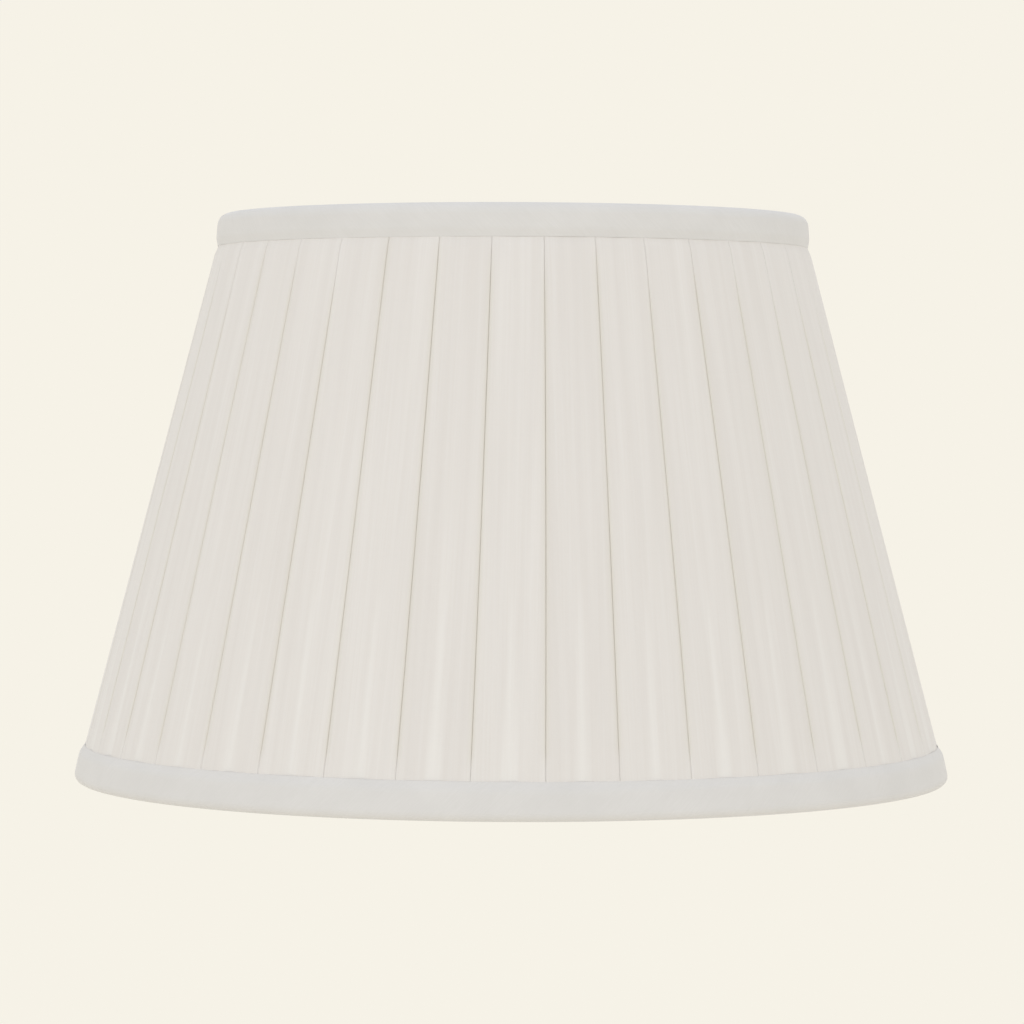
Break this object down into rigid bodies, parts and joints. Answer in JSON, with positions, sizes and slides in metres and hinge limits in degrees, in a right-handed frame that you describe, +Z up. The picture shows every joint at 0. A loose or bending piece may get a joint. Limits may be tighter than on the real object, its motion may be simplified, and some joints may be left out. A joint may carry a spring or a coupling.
{
  "type": "pleated empire lamp shade",
  "caption": "Box-pleated empire lamp shade: pleated fabric cover and lining on a wire frame, bound rims, tilting gimbal fitter with reducer ring.",
  "frame": {"origin": "on the shade's axis, level with the underside of the bottom binding", "axes": "+Z up the axis from the wide bottom rim to the narrow top rim, +X along the gimbal's pivot line, -Y towards the front"},
  "size_m": [0.3566, 0.3566, 0.2304],
  "materials": {
    "pleated_silk": "matt off-white silk-look cloth, box pleated",
    "binding_tape": "off-white bias-cut tape of the same cloth, with a soft sheen",
    "lining_cloth": "smooth white lining cloth",
    "white_wire": "white powder-coated steel wire and strip",
    "plated_steel": "bright zinc-plated pressed steel",
    "white_plastic": "moulded white plastic"
  },
  "bodies": {
    "shade": {"pleated_cover": "pleated_silk", "lining": "lining_cloth", "top_binding": "binding_tape", "bottom_binding": "binding_tape", "lining_neatener_1": "lining_cloth", "lining_neatener_2": "lining_cloth", "lining_neatener_3": "lining_cloth", "top_ring": "white_wire", "bottom_ring": "white_wire", "strut_1": "white_wire", "strut_2": "white_wire", "strut_3": "white_wire", "strut_4": "white_wire", "strut_5": "white_wire", "strut_6": "white_wire", "spider_arm_1": "white_wire", "spider_arm_2": "white_wire", "spider_arm_3": "white_wire", "gimbal_hoop": "white_wire"},
    "fitter": {"fitter_ring": "plated_steel", "pivot_rivet_right": "plated_steel", "pivot_rivet_left": "plated_steel"},
    "reducer": {"reducer_ring": "white_plastic"}
  },
  "joints": [
    {"name": "gimbal_tilt", "type": "hinge", "parent": "shade", "child": "fitter", "pos_m": [0, 0, 0.2004], "axis": [1, 0, 0], "range_deg": [-30, 30]},
    {"name": "reducer_lift", "type": "slide", "parent": "fitter", "child": "reducer", "axis": [0, 0, 1], "range_m": [0, 0.045]}
  ]
}
